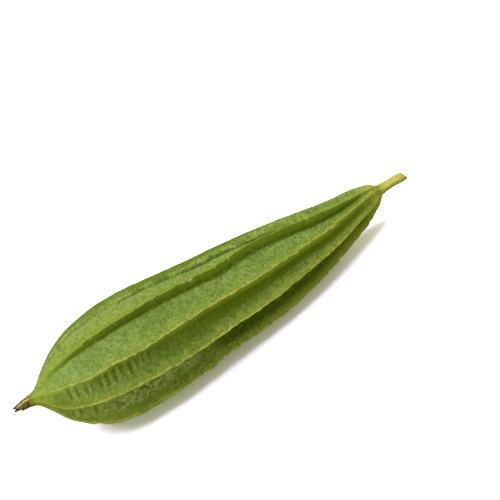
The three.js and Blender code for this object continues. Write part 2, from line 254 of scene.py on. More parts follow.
# Dried shreds: clock angle, start along the stub, length, flare out at the tip,
# width at the root, half turns of twist, and how straw-coloured they still are
SHREDS = (
    (315, 0.6, 6.2, 0.4, 1.2, 0.4, 0.3), (334, 0.0, 1.4, 2.4, 1.2, 0.2, 0.0),
    (115, 0.4, 5.0, 0.6, 2.4, 0.2, 0.0), (130, 3.4, 3.0, 2.5, 0.9, 0.5, 0.0),
    (165, 0.4, 4.4, 0.7, 2.2, -0.3, 0.2), (232, 1.0, 5.4, 1.0, 1.5, -0.6, 0.8),
    (80, 0.8, 5.0, 0.3, 1.8, 0.3, 0.2), (140, 1.5, 5.5, 0.2, 1.4, 0.4, 0.0),
    (285, 1.4, 6.0, 0.5, 1.2, 0.5, 0.5), (60, 5.0, 3.6, 0.3, 1.0, 0.6, 0.3),
)
SHRED_THICKNESS = 0.7
SHRED_SINK = 0.3                # how far its root lies inside the tube
SHRED_TAPER = 0.75              # how much narrower its tip is than its root
# Its random curl and the waves of its edge: spacing of knots along it from 0 to 1, height
SHRED_CURLS = ((0.3, 0.45),)
SHRED_EDGE = ((0.12, 0.25),)

# ---- camera and light -------------------------------------------------------

LENS = 100.0
SENSOR_WIDTH = 36.0
AIM = (25.3, 4.0, 40.9)         # the point at the middle of the view
CAMERA_DISTANCE = 803.0
CAMERA_AZIMUTH = -18.6          # 0 looks along +Y
CAMERA_ELEVATION = 38.4
CAMERA_ROLL = 22.5              # the top of the view leans this far from plumb
FLOOR_DROP = 0.05               # keeps the floor clear of the crests that rest on it
LAMP_TOWARDS = (-0.3, 0.08, 0.93)
LAMP_SPREAD = 55.0              # degrees of sky that the softbox fills
LAMP_COLOUR = (1.0, 0.985, 0.95)


def linear(hex_colour):
    """RGBA in linear light from an sRGB hex string."""
    parts = np.array([int(hex_colour[i:i + 2], 16) for i in (1, 3, 5)]) / 255
    value = np.where(parts <= 0.04045, parts / 12.92, ((parts + 0.055) / 1.055) ** 2.4)
    return (*value.tolist(), 1.0)


# ---- numpy helpers ----------------------------------------------------------

def smooth_table(rows, places):
    """Values at the places on a cubic Hermite curve through (place, value) rows.

    The slope at each row is the distance-weighted mean of the two chords there.
    """
    x, y = np.asarray(rows, float).T
    slopes = np.gradient(y, x)
    i = np.clip(np.searchsorted(x, places) - 1, 0, len(x) - 2)
    span = x[i + 1] - x[i]
    t = (places - x[i]) / span
    s = 1 - t
    return (y[i] * s * s * (1 + 2 * t) + y[i + 1] * t * t * (3 - 2 * t)
            + span * s * t * (s * slopes[i] - t * slopes[i + 1]))


def smoothstep(value):
    """3v^2 - 2v^3 of the value held between 0 and 1."""
    v = np.clip(value, 0, 1)
    return v * v * (3 - 2 * v)


def ramp(places, start, end):
    """0 up to the start, 1 past the end and smooth between; the end may come first."""
    return smoothstep((places - start) / (end - start))


def changing(near, far, places, start, end):
    """From the near value to the far one as places go from the start to the end."""
    return near + (far - near) * ramp(places, start, end)


def hump(distance, half_width):
    """Bell curve exp(-(distance / half width)^2)."""
    return np.exp(-(distance / half_width) ** 2)


def crowded(even, crowding):
    """Even steps from 0 to 1 drawn towards both ends: e - crowding * sin(2 pi e) / 2 pi."""
    return even - crowding * np.sin(2 * np.pi * even) / (2 * np.pi)


def folds(clock, rows):
    """Sum of height * cos(count * clock + turn) over rows of (count, turn, height)."""
    return sum(height * np.cos(np.radians(count * clock + turn)) for count, turn, height in rows)


def drift(rng, count, places, spacing):
    """Smooth random lines between -1 and 1, one row each, through knots a spacing apart."""
    knots = int(np.ceil(np.ptp(places) / spacing)) + 2
    at = places.min() + spacing * np.arange(knots)
    heights = rng.uniform(-1, 1, (count, knots))
    return np.array([smooth_table(np.column_stack((at, row)), places) for row in heights])


def drifts(rng, count, places, waves):
    """Sum of height * drift over waves of (spacing, height)."""
    return sum(height * drift(rng, count, places, spacing) for spacing, height in waves)


def clock_direction(clock):
    """Unit vectors (0, sin, cos) across the axis at clock angles in degrees."""
    angle = np.radians(np.asarray(clock, float))
    return np.stack((np.zeros_like(angle), np.sin(angle), np.cos(angle)), -1)


def closed_surface(grid):
    """Vertices and faces of a grid of rings closed by a fan over each end ring."""
    rows, count, _ = grid.shape
    poles = grid[[0, -1]].mean(1)
    points = np.concatenate((grid.reshape(-1, 3), poles))
    i = np.arange(count)
    j = (i + 1) % count
    start = count * np.arange(rows - 1)[:, None]
    quads = np.stack((start + i, start + count + i, start + count + j, start + j), -1)
    first, last = rows * count, rows * count + 1
    end = (rows - 1) * count
    fans = np.concatenate((
        np.stack((np.full(count, first), i, j), -1),
        np.stack((np.full(count, last), end + j, end + i), -1),
    ))
    return points, quads.reshape(-1, 4), fans


def make_piece(name, surfaces, material, nodes):
    """One mesh object from surfaces, each a grid in millimetres and its patterns.

    The patterns become attributes of the mesh, and a pole takes the mean of its ring.
    The piece rides on the root body.
    """
    points, faces, values, offset = [], [], {}, 0
    for grid, patterns in surfaces:
        part, quads, fans = closed_surface(grid)
        points.append(part)
        faces += (quads + offset).tolist() + (fans + offset).tolist()
        offset += len(part)
        for key, pattern in patterns.items():
            pattern = np.broadcast_to(pattern, grid.shape[:2])
            values.setdefault(key, []).extend((pattern.ravel(), pattern[[0, -1]].mean(1)))
    mesh = bpy.data.meshes.new(name)
    mesh.from_pydata((np.concatenate(points) * MM).tolist(), [], faces)
    for key, arrays in values.items():
        layer = mesh.attributes.new(key, "FLOAT", "POINT")
        layer.data.foreach_set("value", np.concatenate(arrays).astype(np.float32))
    mesh.shade_smooth()
    mesh.materials.append(material)
    piece = bpy.data.objects.new(name, mesh)
    bpy.context.scene.collection.objects.link(piece)
    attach(piece, "root")
    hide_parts(*nodes)
    return piece


# ---- where the fruit lies ---------------------------------------------------

def pitched(points):
    """Points turned stem end down about the Y axis."""
    angle = math.radians(PITCH)
    c, s = math.cos(angle), math.sin(angle)
    return points @ np.array(((c, 0, s), (0, 1, 0), (-s, 0, c))).T


def body_axis(places):
    """Middle of the fruit at each place: straight along +X plus the bow to one side."""
    middle = smooth_table(BOW, places)[..., None] * clock_direction(BOW_CLOCK)
    middle[..., 0] = places
    return middle


def proud_share(places):
    """How much of its own height over the others a ridge has, from 0 at both ends to 1."""
    start, full = 5, 19
    return ramp(places, start, full) * ramp(places, BODY_LENGTH - start, BODY_LENGTH - full)


def ridge_clocks(places):
    """Clock angle of each ridge's crest at each place, in a row for each place."""
    return np.stack([smooth_table(path, places) for path in RIDGE_PATHS], -1)


def crest_radii(places):
    """Distance of each ridge's crest from the axis at each place."""
    proud = proud_share(places)[:, None] * PROUD[:, 0]
    return smooth_table(CREST_RADIUS, places)[:, None] + proud


def lying_shift():
    """Shift that seats the pitched fruit in the solid's box, lower crests sunk by the flat."""
    places = np.linspace(0, BODY_LENGTH, 800)
    crests = crest_radii(places)[..., None] * clock_direction(ridge_clocks(places))
    rings = pitched(body_axis(places)[:, None] + crests)
    low, high = (np.array(corner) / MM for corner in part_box("fruit"))
    shift = (low + high) / 2 - (rings.min((0, 1)) + rings.max((0, 1))) / 2
    shift[2] = -rings[..., 2].min() - FLAT_DEPTH
    return shift


LYING_SHIFT = lying_shift()


def lay_down(points):
    """Points from the fruit's own frame to where it lies."""
    return pitched(points) + LYING_SHIFT


def on_stem_end(points):
    """Points modelled outward along +X from the stem's seat."""
    return lay_down(points + (BODY_LENGTH + SEAT_GAP, 0, 0))


def on_blossom_end(points):
    """Points modelled outward along +X from the blossom's seat, turned to point away."""
    return lay_down(points * (-1, -1, 1) - (SEAT_GAP, 0, 0))


# ---- shapes -----------------------------------------------------------------

def rind_places():
    """Where the points of the rind's grid are: rows along the fruit, columns round it.

    Round a panel, across runs from 0 at its first crest to 1 at the next, and d from
    0 at the nearest crest to 1 in the panel's middle. The side that falls is the one
    where clock angles fall as it leaves its crest. The radius at the crests passes
    from one crest's to the next one's by a smoothstep.
    """
    x = BODY_LENGTH * crowded(np.linspace(0, 1, FRUIT_ROWS), ROW_CROWDING)
    clocks = ridge_clocks(x)
    angles = (np.roll(clocks, -1, 1) - clocks) % 360
    across = crowded(np.arange(PANEL_COLUMNS) / PANEL_COLUMNS, COLUMN_CROWDING)
    clock = (clocks[..., None] + angles[..., None] * across).reshape(len(x), -1)
    half_angle = np.radians(np.repeat(angles / 2, PANEL_COLUMNS, 1))
    panel = np.repeat(np.arange(RIDGES), PANEL_COLUMNS)
    following = (panel + 1) % RIDGES
    across = np.tile(across, RIDGES)
    falling = (across > 0.5).astype(int)
    crests = crest_radii(x)
    radius = crests[:, panel] + (crests[:, following] - crests[:, panel]) * smoothstep(across)
    return SimpleNamespace(
        x=x, clock=clock, half_angle=half_angle, radius=radius, half_panel=half_angle * radius,
        across=across, d=1 - np.abs(1 - 2 * across), falling=falling,
        panel=panel, following=following, nearest=np.where(falling, following, panel),
        side=2 * panel + falling, proud=proud_share(x)[:, None],
    )


def flank_widths(at, rng):
    """Distance from each point's crest to the foot of its flank, wavering along the fruit."""
    waver = 1 + drifts(rng, 2 * RIDGES, at.x, FLANK_WAVES)
    falling_width = changing(WIDTH_NEAR, WIDTH_FAR, at.x, *WIDENING)
    width = np.where(at.falling, falling_width[at.nearest].T, RISING_WIDTH)
    return np.minimum(width * waver[at.side].T, FLANK_SHARE * at.half_panel)


def flank_fall(at, foot):
    """How far down its flank each point is, from 0 on the crest: w / (1 + w^p)^(1/p).

    w = (1 - s) f + s f^3, where f is 1 at the foot, s is the steepening and p is the
    power that rounds the foot.
    """
    power = np.array(FOOT_POWERS)[at.falling]
    wall = (1 - FLANK_STEEPENING) * foot + FLANK_STEEPENING * foot ** 3
    return wall / (1 + wall ** power) ** (1 / power)


def crest_faults(x, rng):
    """Each crest's waves, nicks and sideways wander, in a row for each ridge.

    A nick is a bell curve. A knock is a deeper one, which also pushes the crest to
    one side before it and to the other after it, by a tanh under a wide bell curve.
    """
    wave = RAGGED * drifts(rng, RIDGES, x, CREST_WAVES) * changing(1, 0.5, x, *CALMING)
    spots = rng.uniform(*NICK_PLACES, (RIDGES, NICKS, 1))
    depths = rng.uniform(*NICK_DEPTHS, (RIDGES, NICKS, 1))
    lengths = rng.uniform(*NICK_LENGTHS, (RIDGES, NICKS, 1))
    nick = RAGGED * (depths * hump(x - spots, lengths)).sum(1)
    wander = drifts(rng, RIDGES, x, WANDER_WAVES)
    for ridge, place, depth, length in KNOCKS:
        nick[ridge] += depth * hump(x - place, length)
        jog = np.tanh((x - place) / length) * hump(x - place, KNOCK_REACH)
        wander[ridge] += KNOCK_PUSH * depth * jog
    return wave, nick, wander


def cross_wrinkles(at, rng, spacing):
    """Slanted waves across the panels, between -1 and 1, strongest in the bars by the neck.

    They are strength * sin(2 pi x / spacing + waves + slant), and fade towards the
    panel's first crest and right at both crests. The strength wavers at random.
    """
    beat = 2 * np.pi * at.x / spacing + drifts(rng, RIDGES, at.x, BEAT_WAVES)
    strength = np.clip(0.65 + drifts(rng, RIDGES, at.x, STRENGTH_WAVES), 0.2, 1)
    bars = BARRED * ramp(at.x, *BARS_START) * ramp(at.x, BARS_END, BARS_END - BARS_FADE)
    strength *= 0.25 + 2 * bars
    slant = 0.5 * np.sin(3 * at.across + at.panel)
    wrinkle = np.sin(beat[at.panel].T + slant) * strength[at.panel].T
    return wrinkle * at.proud * smoothstep(at.d * 3) * changing(0.1, 1, at.across, 0.25, 0.6)


def crest_colours(at, rng, rib_width):
    """Share of the dried pale line along each crest, and of the yellow-green skirt beside it.

    Both are bell curves of the distance from the crest. The line comes and goes
    along the fruit, and on the worn ridge it lies on both edges of the worn strip.
    """
    dried = 0.85 + drifts(rng, RIDGES, at.x, DRIED_WAVES)
    pale = changing(PALE_NEAR, PALE_FAR, at.x, *LINE_CHANGE)
    dried *= pale * ramp(at.x, *LINE_START) * changing(1, 0.55, at.x, *LINE_FADE)
    dried *= ramp(at.x, *LINE_END)
    worn_edge = np.where(at.nearest == WORN_RIDGE, WORN_EDGE, 0) * ramp(at.x, *WORN_END)[:, None]
    from_line = at.from_crest - worn_edge * (1 - 2 * at.falling)
    line = hump(from_line, rib_width * BROAD[at.nearest].T) * dried[at.nearest].T
    # Painted light: the long skirts stand in for light on two crests' shaded sides and on one rim
    reach = np.where(at.falling, FALLING_SKIRT_AND_LIGHT[at.nearest].T, RISING_SKIRT_AND_LIGHT[at.nearest].T)
    skirt = hump(at.from_crest, reach) * np.clip(pale[at.nearest].T + 0.1, 0, 1)
    skirt *= (ramp(at.x, *SKIRT_START) * changing(0.65, 1, at.x, *SKIRT_FULL))[:, None]
    return line, skirt


def flank_colours(at, rng):
    """Share of the deep green on the falling flanks, of its dark foot and of the pale band.

    The deep green is a saturated green that is partly painted shade, standing for the
    ridge's shade on its falling side. It runs from a crest as far as its reach, and fades
    over the last third of that. The dark foot is painted shade in the crease, a bell curve
    about the line where flank and panel meet, the broader the darker it is. On banded
    ridges it is broken and lies just past that line, with the band above it. Painted
    shade also darkens the deep green towards the stem.
    """
    x = at.x
    shown = changing(DEEP_SHOWN, 1, x, *DEEPENING)[at.following].T
    reach = changing(DEEP_NEAR, DEEP_FAR, x, *REACH_CHANGE)[at.following].T
    reach = reach * changing(0.3, 1, x, *REACH_START)[:, None]
    from_next = 2 * at.half_panel * (1 - at.across)
    # Painted shade: the deep green on a falling side stands in for its ridge's shade there
    deep = smoothstep((reach - from_next) / (0.35 * reach)) * shown
    # Painted shade: all of the deep green goes darker towards the stem
    darker = STEM_SHADE * ramp(x, *STEM_SHADE_START) * changing(1, 0.75, x, *STEM_SHADE_FADE)
    # Painted shade: the dark line in the crease at each flank's foot
    dark = changing(FOOT_SHADE_NEAR, FOOT_SHADE_FAR, x, *FOOT_SHADE_CHANGE)
    dark = np.where(at.falling, dark[at.nearest].T, RISING_FOOT_SHADE)
    banded = at.falling * PALE_BAND[at.nearest].T
    foot_line = 1 + banded * changing(0.1, 0.22, x, *FOOT_LINE_CHANGE)[:, None]
    edge = hump(at.foot - foot_line, 0.15 + (0.25 - 0.05 * banded) * dark) * dark
    band = banded * (0.7 + drifts(rng, 2 * RIDGES, x, BAND_WAVES)[at.side].T)
    band *= ramp(x, *BAND_END)[:, None] * ramp(at.foot, 0.62, 0.76) * ramp(at.foot, 1.04, 0.9)
    broken = np.clip(1 + drifts(rng, 2 * RIDGES, x, BROKEN_WAVES), 0.5, 1.2)
    broken *= ramp(x, *BROKEN_END)
    edge *= np.where(banded > 0, broken[at.side].T, 1)
    return deep, np.clip(edge + deep * darker[at.following].T, 0, 1), band


def fruit_surface(settings):
    """The ridged rind and the patterns that its material reads.

    Radius = crest radius - drop * the flank's fall, over the fall in the panel's
    middle, and the drop leads to a panel hollowed along
    (crest radius - height) * (1 + hollow * (1/cos - 1)). Then come a rounded rib on
    the crest, its waves and nicks, cross wrinkles and slow swells.
    """
    rng = np.random.default_rng(SEED)
    at = rind_places()
    d = at.d
    width = flank_widths(at, rng)
    at.from_crest = d * at.half_panel
    at.foot = at.from_crest / width
    fall = flank_fall(at, at.foot) / flank_fall(at, at.half_panel / width)
    height = smooth_table(RIDGE_HEIGHT, at.x)[:, None]
    hollow = PANEL_HOLLOW * (1 / np.cos((1 - d) * at.half_angle) - 1)
    drop = at.radius - (at.radius - height) * (1 + hollow)

    rib_width = settings.rib_width / MM
    rib = hump(at.from_crest, rib_width * BROAD[at.nearest].T)
    wave, nick, wander = (row[at.nearest].T for row in crest_faults(at.x, rng))
    wrinkle = cross_wrinkles(at, rng, settings.wrinkle_spacing / MM)
    middle = np.sin(np.pi * d / 2)
    swell = drifts(rng, RIDGES, at.x, SWELL_WAVES)[at.panel].T * middle ** 2
    r = at.radius - drop * fall + at.proud * (
        settings.rib_height / MM * rib
        + (settings.wave_depth / MM * wave - nick) * (1 - d) ** 5
        + settings.wrinkle_depth / MM * wrinkle
        + settings.swell_depth / MM * swell
    )
    sway = settings.crest_wander / MM * wander * at.proud * (1 - d) ** 2
    turned = at.clock + np.degrees(sway / np.maximum(at.radius, 6))
    grid = lay_down(body_axis(at.x)[:, None] + r[..., None] * clock_direction(turned))
    grid[..., 2] = np.maximum(grid[..., 2], 0)

    yellow = (YELLOWNESS + drifts(rng, RIDGES, at.x, YELLOW_WAVES))[at.panel].T
    line, skirt = crest_colours(at, rng, rib_width)
    deep, foot_shade, band = flank_colours(at, rng)
    bloom = BLOOM * (0.7 + drifts(rng, RIDGES, at.x, BLOOM_WAVES)) * ramp(at.x, *BLOOM_END)
    ridged = (ramp(at.x, *RIDGED_START) * ramp(at.x, *RIDGED_END))[:, None]
    return grid, {
        "rib": line,
        "skirt": skirt,
        "bright_flank": smoothstep(1.25 - at.foot) * ridged * (1 - at.falling),
        # Partly painted shade: the deep green of the falling sides
        "deep_green_and_shade": deep * ridged,
        # Painted shade: the dark crease line at the feet, and the deep green darkened towards the
        # stem
        "foot": foot_shade * ridged,
        "bloom": bloom[at.panel].T * ridged * ramp(at.across, 0.15, 0.55),
        "pale_band": band * ridged,
        "trough": ramp(at.foot, 1, 1.35) * smoothstep(at.across / 0.8) * at.proud,
        "along": np.repeat(at.x[:, None] / BODY_LENGTH, len(d), 1),
        "wrinkle": wrinkle,
        "nick": np.clip(nick * 2, 0, 1) * (1 - d) ** 8 * at.proud,
        "yellow": yellow * np.where(at.falling, middle, 1),
    }


def stem_surface():
    """The stalk: a five-cornered tube on a low parabola, then its slanted cut end.

    Radius = table * slow swells * (1 + corner * cos 5a + fine ribs). Past the cut's
    edge the profile turns in over a raised rim, a quarter of its radius wide, and
    dips to the pith.
    """
    rng = np.random.default_rng(SEED + 1)
    sides, side_rows, cut_rows = 120, 90, 12
    clock = 360 * np.arange(sides) / sides
    x = np.concatenate((np.linspace(-STEM_SINK, STEM_LENGTH, side_rows),
                        np.full(cut_rows, STEM_LENGTH)))
    turn_in = np.concatenate((np.zeros(side_rows), np.linspace(0.05, 0.97, cut_rows)))
    share = np.clip(x / STEM_LENGTH, 0, 1)
    section = 1 + folds(clock, ((STEM_ANGLES, 0, STEM_CORNER), *STEM_FIBRES))
    swells = 1 + drifts(rng, 1, x, STEM_SWELLS)[0]
    table = smooth_table(STEM_RADIUS, np.clip(x, 0, STEM_LENGTH)) * swells
    table += STEM_FLARE * ramp(x, *FLARE_REACH)
    r = (table * (1 - turn_in))[:, None] * section
    points = r[..., None] * clock_direction(clock)
    rise = STEM_ARCH * 4 * share * (1 - share)
    lean = math.tan(math.radians(STEM_CUT)) * share ** 3
    dip = CUT_RIM * np.sin(np.pi * np.clip(turn_in * 4, 0, 1))
    dip -= CUT_DIP * smoothstep((turn_in - 0.2) * 3)
    points[..., 0] = x[:, None] - lean[:, None] * points[..., 2] + dip[:, None]
    points[..., 2] += rise[:, None]
    return on_stem_end(points), {
        "cut": smoothstep(turn_in * 20)[:, None],
        "depth": turn_in[:, None],
        "share": share[:, None],
        # Painted shade: olive along the sides between the clearest clock and its opposite
        "side_shade": 0.5 - 0.5 * np.cos(np.radians(2 * (clock - UNSHADED_CLOCK))),
    }


def stub_line(distance):
    """Middle of the flower tube: straight out, rising by a parabola."""
    share = np.asarray(distance, float) / STUB_LENGTH
    return np.stack((share * STUB_LENGTH, 0 * share, STUB_RISE * share ** 2), -1)


def stub_surface():
    """The withered flower tube: a crumpled tube, torn at its rim and hollow there.

    Radius = table * (1 + crumples that turn along the tube); past the rim the wall
    turns in and runs back inside to a closed bottom. Its length has teeth at the rim.
    """
    rng = np.random.default_rng(SEED + 2)
    sides, outer_rows, inner_rows = 96, 70, 16
    clock = 360 * np.arange(sides) / sides
    x = np.concatenate((np.linspace(-STUB_SINK, STUB_LENGTH, outer_rows),
                        STUB_LENGTH - np.linspace(0.05, STUB_DEPTH, inner_rows)))
    inside = np.concatenate((np.zeros(outer_rows), np.linspace(0.5, 1, inner_rows)))
    crumple = 1 + folds(clock, [
        (count, twist * x[:, None] + turn, height) for count, twist, turn, height in CRUMPLES
    ])
    pinch = 1 + drifts(rng, 1, x, STUB_PINCHES)[0]
    table = smooth_table(STUB_RADIUS, np.clip(x, 0, STUB_LENGTH)) * pinch
    wall = 1 - STUB_WALL * smoothstep(inside * 2)
    wall -= STUB_CLOSING * smoothstep((inside - 0.8) * 5)
    share = np.clip(x / STUB_LENGTH, 0, 1)
    toothed = share ** 4 * np.where(inside > 0.9, 0.2, 1)
    torn = STUB_TEETH * toothed[:, None] * folds(clock, TEETH)
    points = (table * wall)[:, None, None] * crumple[..., None] * clock_direction(clock)
    points += stub_line(x)[:, None]
    points[..., 0] += torn
    # Painted highlight: a straw-pale strip along one side of the tube; elsewhere it is withered
    # olive and brown, which also stands for its shaded side
    strip = hump((clock - STRAW_HIGHLIGHT_CLOCK + 180) % 360 - 180, STRAW_HIGHLIGHT_WIDTH)
    withered = 1 - strip * (1 - smoothstep(inside * 20))[:, None]
    return on_blossom_end(points), {"withered": withered}


def shred_surface(shred, rng):
    """One dried shred: a flat tapering ribbon along the tube that twists and curls out.

    Its middle rises off the tube by flare * t^2, and its section is an ellipse
    turned by the twist * t with a waved edge.
    """
    clock, start, length, flare, width, twist, pale = shred
    rows, sides = 26, 14
    t = np.linspace(0, 1, rows)
    distance = start + length * t
    outward, aside = clock_direction(clock), clock_direction(clock + 90)
    tube = smooth_table(STUB_RADIUS, np.clip(distance, 0, STUB_LENGTH))
    bend = drifts(rng, 2, t, SHRED_CURLS)
    lift = tube - SHRED_SINK + flare * t ** 2
    middle = stub_line(distance) + (lift + bend[0] * t)[:, None] * outward
    middle += (bend[1] * t)[:, None] * aside
    taper = (1 - SHRED_TAPER * t ** 1.5) * (1 + drifts(rng, 1, t, SHRED_EDGE)[0])
    turn = math.pi * twist * t
    flat = np.cos(turn)[:, None] * aside + np.sin(turn)[:, None] * outward
    thin = -np.sin(turn)[:, None] * aside + np.cos(turn)[:, None] * outward
    angle = 2 * np.pi * np.arange(sides) / sides
    broad = (taper * width / 2)[:, None] * np.sin(angle)
    slim = (taper * SHRED_THICKNESS / 2)[:, None] * np.cos(angle)
    grid = middle[:, None] + broad[..., None] * flat[:, None] + slim[..., None] * thin[:, None]
    withered = 1 - 0.7 * pale * smoothstep(t * 2)
    return on_blossom_end(grid), {"withered": withered[:, None]}


# ---- materials --------------------------------------------------------------

def add_node(tree, kind, inputs=(), **settings):
    """Add a node with its properties, and set or link its inputs.

    An input goes by its number or its name, and takes a value, a socket or a node,
    whose first live output it is linked to.
    """
    node = tree.nodes.new(kind)
    for name, value in settings.items():
        setattr(node, name, value)
    for key, value in dict(inputs).items():
        live = {socket.name: socket for socket in reversed(node.inputs) if socket.enabled}
        socket = node.inputs[key] if isinstance(key, int) else live[key]
        if isinstance(value, bpy.types.Node):
            value = next(output for output in value.outputs if output.enabled)
        if isinstance(value, bpy.types.NodeSocket):
            tree.links.new(value, socket)
        else:
            socket.default_value = value
    return node


def mottle(tree, size, stretch=(1, 1, 1), detail=3.0):
    """A cloudy pattern about size millimetres across, drawn out along X, Y and Z by stretch."""
    place = add_node(tree, "ShaderNodeTexCoord").outputs["Object"]
    scale = [1 / (size * MM * length) for length in stretch]
    scaled = add_node(tree, "ShaderNodeMapping", {"Vector": place, "Scale": scale})
    return add_node(tree, "ShaderNodeTexNoise", {"Vector": scaled, "Scale": 1.0, "Detail": detail})


def coat(tree, under, colour, share, *places):
    """Lay a colour over another, by its share, where each pattern nears its high from its low.

    Each place is (pattern, low, high), and the share fades to nothing at a low.
    """
    for pattern, low, high in places:
        share = add_node(
            tree, "ShaderNodeMapRange",
            {"Value": pattern, "From Min": low, "From Max": high, "To Max": share},
            interpolation_type="SMOOTHSTEP",
        )
    return add_node(
        tree, "ShaderNodeMix", {"Factor": share, "A": under, "B": colour}, data_type="RGBA",
    )


def relief(tree, *layers):
    """A normal pressed by each (pattern, depth in millimetres) in turn."""
    normal = add_node(tree, "ShaderNodeNewGeometry").outputs["Normal"]
    for pattern, depth in layers:
        normal = add_node(
            tree, "ShaderNodeBump", {"Height": pattern, "Distance": depth * MM, "Normal": normal},
        )
    return normal


def surface_layers(tree, *names):
    """The surface's own patterns, read from the piece's attributes."""
    return [
        add_node(tree, "ShaderNodeAttribute", attribute_name=name).outputs["Fac"]
        for name in names
    ]


def start_material(name):
    """An empty node material and its tree."""
    material = bpy.data.materials.new(name)
    material.use_nodes = True
    material.node_tree.nodes.clear()
    return material, material.node_tree


def finish_material(tree, **inputs):
    """Give the tree a principled shader with the inputs, named with _ for a space."""
    named = {name.replace("_", " "): value for name, value in inputs.items()}
    shader = add_node(tree, "ShaderNodeBsdfPrincipled", named)
    add_node(tree, "ShaderNodeOutputMaterial", {"Surface": shader})


def rind_material(settings):
    """Waxy rind of a fresh gourd, matte and finely grained.

    It gives the eye greyish green panels with faint cross veins, freckles and bars
    of dark and light near the neck. The falling flanks are a clean, saturated green
    that is partly painted shade, darkened further by painted shade towards the stem,
    with a dark line of painted shade along their foot, and here and there a pale band
    above it. A thin broken straw line runs on each crest in a yellow-green skirt,
    which on a few ridges runs long as painted light. The ends are yellow-green,
    browned round the withered flower, and the stem end is lightened further by
    painted light. A greyish waxy bloom over darker specks lies on some panels. Sizes
    of patterns are in millimetres. The grain is drawn coarser than the real one,
    which would be too fine to show.
    """
    material, tree = start_material("waxy_gourd_rind")
    rib, skirt, bright_flank, deep_green_and_shade, foot, trough = surface_layers(
        tree, "rib", "skirt", "bright_flank", "deep_green_and_shade", "foot", "trough",
    )
    along, wrinkle, nick, yellow, bloom, pale_band = surface_layers(
        tree, "along", "wrinkle", "nick", "yellow", "bloom", "pale_band",
    )
    clouds = mottle(tree, 14, detail=4)
    patches = mottle(tree, 4.5, detail=4)
    dimples = mottle(tree, 2.4, detail=2)
    grain = mottle(tree, 1.1)
    veins = mottle(tree, 1.6, stretch=(1, 4, 4))
    streaks = mottle(tree, 2.6, stretch=(6, 1, 1))
    place = add_node(tree, "ShaderNodeTexCoord").outputs["Object"]
    cells = add_node(tree, "ShaderNodeTexVoronoi", {"Vector": place, "Scale": 1 / (2.3 * MM)})
    chance = add_node(tree, "ShaderNodeSeparateColor", {"Color": cells.outputs["Color"]})
    spot = cells.outputs["Distance"]

    colour = coat(tree, settings.panel_dark, settings.panel_light, 1.0, (clouds, 0.36, 0.64))
    colour = coat(tree, colour, settings.bright_flank_colour, 0.8, (bright_flank, 0.0, 0.9))
    colour = coat(tree, colour, settings.panel_yellow, 0.7, (yellow, 0.2, 1.0))
    colour = coat(tree, colour, settings.panel_dark, 0.4, (patches, 0.5, 0.62))
    colour = coat(tree, colour, settings.vein_colour, 0.3, (veins, 0.52, 0.72))
    colour = coat(tree, colour, settings.trough_colour, 0.45, (trough, 0.0, 1.0))
    # Partly painted shade: saturated deep green on the falling sides, for each ridge's shade
    colour = coat(tree, colour, settings.deep_green_and_shade_colour, 0.9, (deep_green_and_shade, 0.0, 0.9))
    colour = coat(
        tree, colour, settings.bloom_colour, 0.8, (bloom, 0.0, 0.9), (patches, 0.25, 0.55),
    )
    colour = coat(tree, colour, settings.grain_dark, 0.6, (bloom, 0.2, 0.9), (dimples, 0.52, 0.38))
    colour = coat(tree, colour, settings.grain_dark, 0.5, (bloom, 0.2, 0.9), (patches, 0.5, 0.38))
    colour = coat(tree, colour, settings.vein_colour, 0.7, (wrinkle, 0.1, 0.8))
    colour = coat(tree, colour, settings.grain_dark, 0.7, (wrinkle, -0.1, -0.8))
    # Painted shade: a dark line in the crease along each flank's foot, and the deep green darkened
    # towards the stem
    colour = coat(tree, colour, settings.foot_shade_colour, 0.93, (foot, 0.0, 1.0), (patches, 0.1, 0.4))
    colour = coat(tree, colour, settings.pale_band_colour, 0.9, (pale_band, 0.0, 0.9))
    colour = coat(
        tree, colour, settings.freckle_colour, 0.4, (spot, 0.24, 0.1), (chance, 0.6, 0.64),
    )
    colour = coat(tree, colour, settings.end_colour, 0.7, (along, 0.07, 0.0), (streaks, 0.2, 0.55))
    # The stem end's yellow-green, partly real and partly painted light over the shade where it
    # curves away
    colour = coat(tree, colour, settings.end_colour, 0.85, (along, 0.93, 1.0), (streaks, 0.2, 0.55))
    colour = coat(tree, colour, settings.root_colour, 0.9, (along, 0.94, 0.99))
    colour = coat(tree, colour, settings.stain_colour, 0.8, (along, 0.016, 0.0))
    # Real yellow-green beside the crests, and painted light where a skirt runs long
    colour = coat(tree, colour, settings.skirt_colour, 0.8, (skirt, 0.0, 1.0))
    colour = coat(tree, colour, settings.rib_colour, 0.75, (rib, 0.15, 0.85))
    colour = coat(tree, colour, settings.nick_colour, 0.8, (nick, 0.0, 1.0))
    # The grain shows least by the neck and on the deep green
    open_skin = (along, -0.4, 0.35), (deep_green_and_shade, 1.5, 0.0)
    colour = coat(tree, colour, settings.grain_dark, 0.48, (grain, 0.5, 0.34), *open_skin)
    colour = coat(tree, colour, settings.grain_light, 0.48, (grain, 0.52, 0.68), *open_skin)
    colour = coat(tree, colour, settings.grain_dark, 0.36, (dimples, 0.5, 0.36), *open_skin)
    colour = coat(tree, colour, settings.grain_light, 0.26, (dimples, 0.55, 0.7), *open_skin)
    finish_material(
        tree, Base_Color=colour, Roughness=0.55, IOR=1.2,
        Normal=relief(tree, (patches, 0.3), (dimples, 0.2), (veins, 0.1), (grain, 0.06)),
    )
    return material


